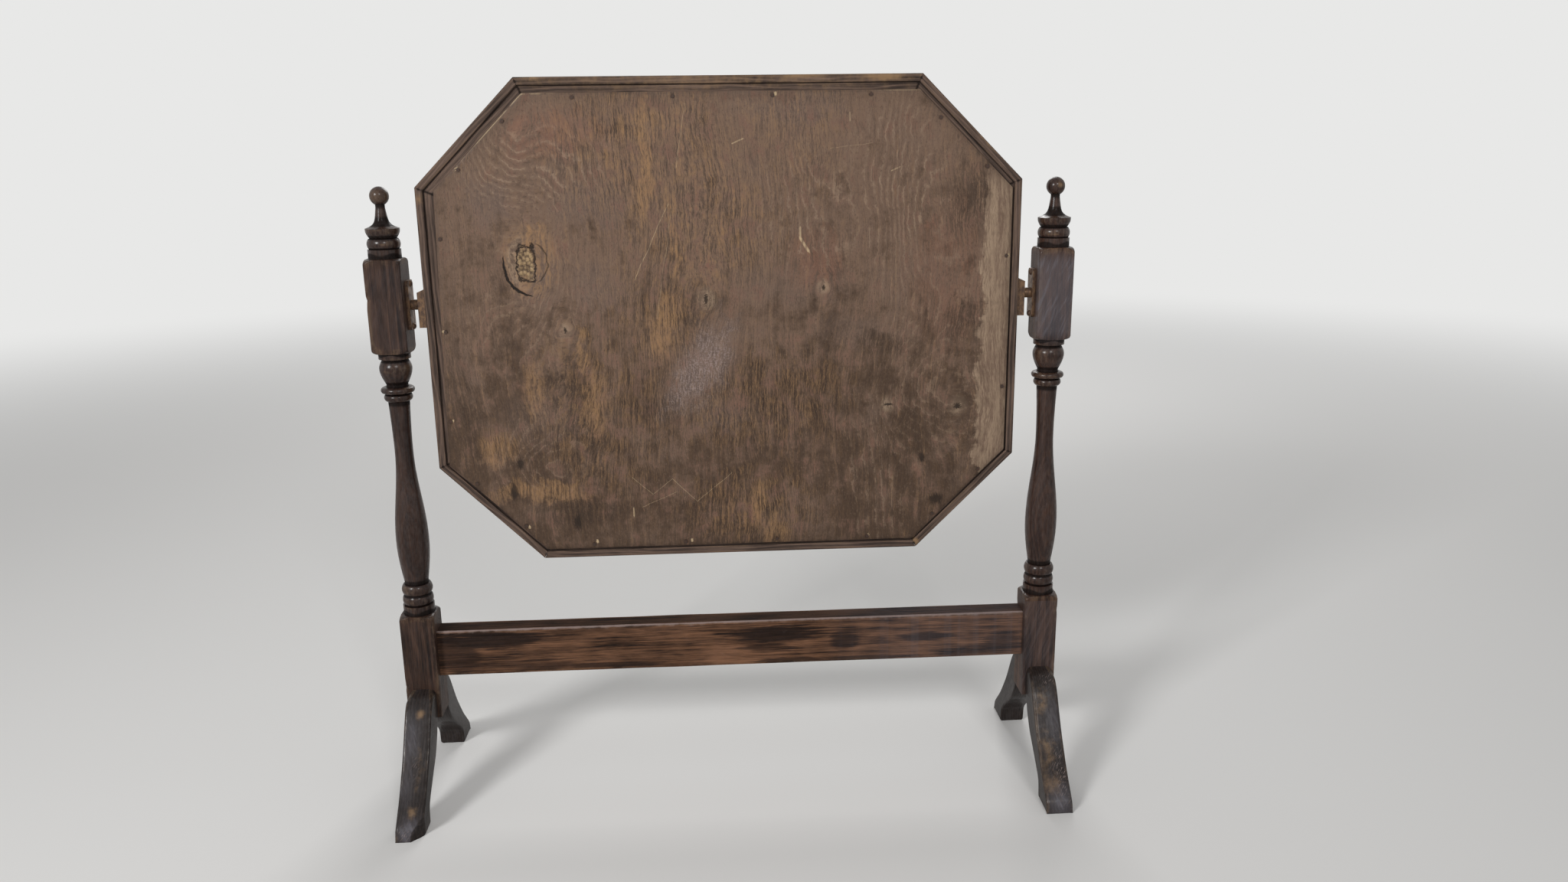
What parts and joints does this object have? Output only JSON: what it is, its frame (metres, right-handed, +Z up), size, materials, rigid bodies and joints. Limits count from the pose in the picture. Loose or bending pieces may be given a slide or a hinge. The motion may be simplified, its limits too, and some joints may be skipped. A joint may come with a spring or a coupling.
{
  "type": "vanity mirror",
  "caption": "Octagonal framed dressing-table mirror that swings between turned oak posts on a stretcher rail and splayed feet.",
  "frame": {"origin": "on the table under the middle of the piece, level with the soles of the feet", "axes": "+Z up, X along the stretcher rail, the glass faces -Y and the back board +Y"},
  "size_m": [0.611, 0.204, 0.6465],
  "materials": {
    "dark_oak": "dark stained oak, satin, worn edges",
    "frame_oak": "dark stained oak, mitred moulding",
    "plywood": "brown stained plywood, worn",
    "softwood": "raw softwood",
    "silvered_glass": "bevelled silvered plate",
    "aged_brass": "dull brown patina",
    "dark_steel": "darkened wire nails and screws",
    "leather": "pressed washer leather"
  },
  "bodies": {
    "stand": {"left_post": "dark_oak", "right_post": "dark_oak", "stretcher_rail": "dark_oak", "left_front_foot": "dark_oak", "left_rear_foot": "dark_oak", "right_front_foot": "dark_oak", "right_rear_foot": "dark_oak", "foot_dowels": "softwood", "left_post_plate": "aged_brass", "right_post_plate": "aged_brass", "left_pivot_pin": "aged_brass", "right_pivot_pin": "aged_brass", "left_friction_washer": "leather", "right_friction_washer": "leather", "post_plate_screws": "aged_brass"},
    "mirror": {"frame_top_rail": "frame_oak", "frame_bottom_rail": "frame_oak", "frame_left_stile": "frame_oak", "frame_right_stile": "frame_oak", "frame_upper_left_corner": "frame_oak", "frame_upper_right_corner": "frame_oak", "frame_lower_left_corner": "frame_oak", "frame_lower_right_corner": "frame_oak", "mitre_pins": "dark_steel", "mirror_glass": "silvered_glass", "glass_packing_blocks": "softwood", "back_board": "plywood", "back_board_nails": "dark_steel", "left_frame_socket": "aged_brass", "right_frame_socket": "aged_brass", "frame_socket_screws": "aged_brass"}
  },
  "joints": [
    {"name": "mirror_tilt", "type": "hinge", "parent": "stand", "child": "mirror", "pos_m": [0, -0.004, 0.459], "axis": [1, 0, 0], "continuous": true}
  ]
}
